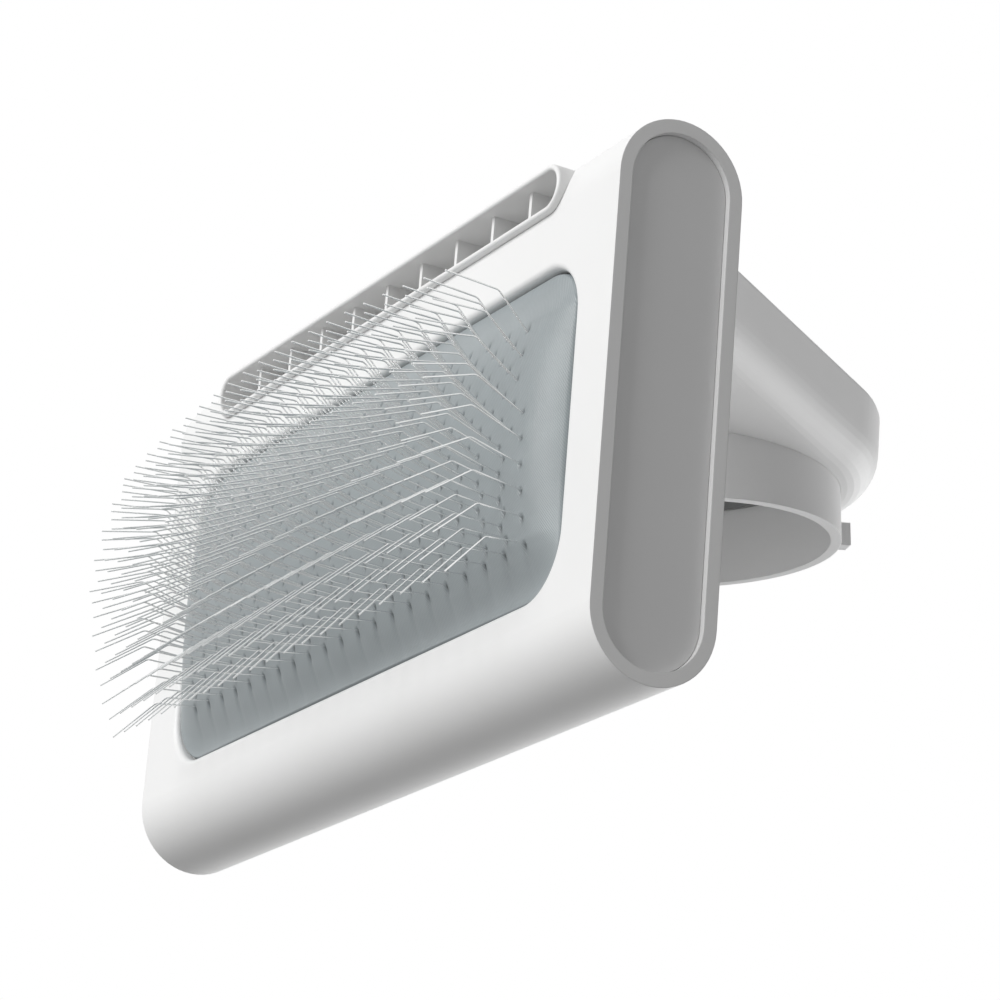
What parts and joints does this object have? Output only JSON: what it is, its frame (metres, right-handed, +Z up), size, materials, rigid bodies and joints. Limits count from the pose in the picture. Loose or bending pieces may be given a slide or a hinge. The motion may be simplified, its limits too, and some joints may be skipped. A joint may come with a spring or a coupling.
{
  "type": "slicker brush vacuum head",
  "caption": "Slicker brush head for a grooming vacuum: domed fabric pad of bent steel pins, ribbed suction nozzle above it, rear duct with a round hose collar.",
  "frame": {"origin": "centre of the hose collar's mouth", "axes": "+X along the head, -Y the pin side, +Z up the head's height; the collar opens downwards and leans 5 degrees towards +Y"},
  "size_m": [0.1128, 0.0872, 0.065],
  "materials": {
    "shell": "satin white moulded ABS",
    "nozzle": "satin white moulded ABS",
    "end_panel": "fine matt grey moulded ABS",
    "duct": "satin pale grey moulded ABS",
    "collar": "satin pale grey moulded ABS",
    "pad_skin": "fine woven nylon",
    "pad_rubber": "foamed rubber",
    "inner_plastic": "plain moulded ABS",
    "seal": "soft rubber",
    "pin_steel": "stainless spring wire",
    "screw_steel": "zinc plated steel"
  },
  "bodies": {
    "brush_head": {"head_shell": "shell", "end_panel_right": "end_panel", "end_panel_left": "end_panel", "suction_nozzle": "nozzle", "pad_skin": "pad_skin", "pad_cushion": "pad_rubber", "pin_plate": "inner_plastic", "pin_backing": "inner_plastic", "pad_frame": "inner_plastic", "pad_frame_screws": "screw_steel", "pins_band_1": "pin_steel", "pins_band_2": "pin_steel", "pins_band_3": "pin_steel", "pins_band_4": "pin_steel", "pins_band_5": "pin_steel", "pins_band_6": "pin_steel", "air_baffle": "inner_plastic", "baffle_seal": "seal", "duct_shell": "duct", "duct_gasket": "seal", "duct_screws": "screw_steel", "hose_collar": "collar", "collar_stop_ring": "collar"}
  },
  "joints": []
}
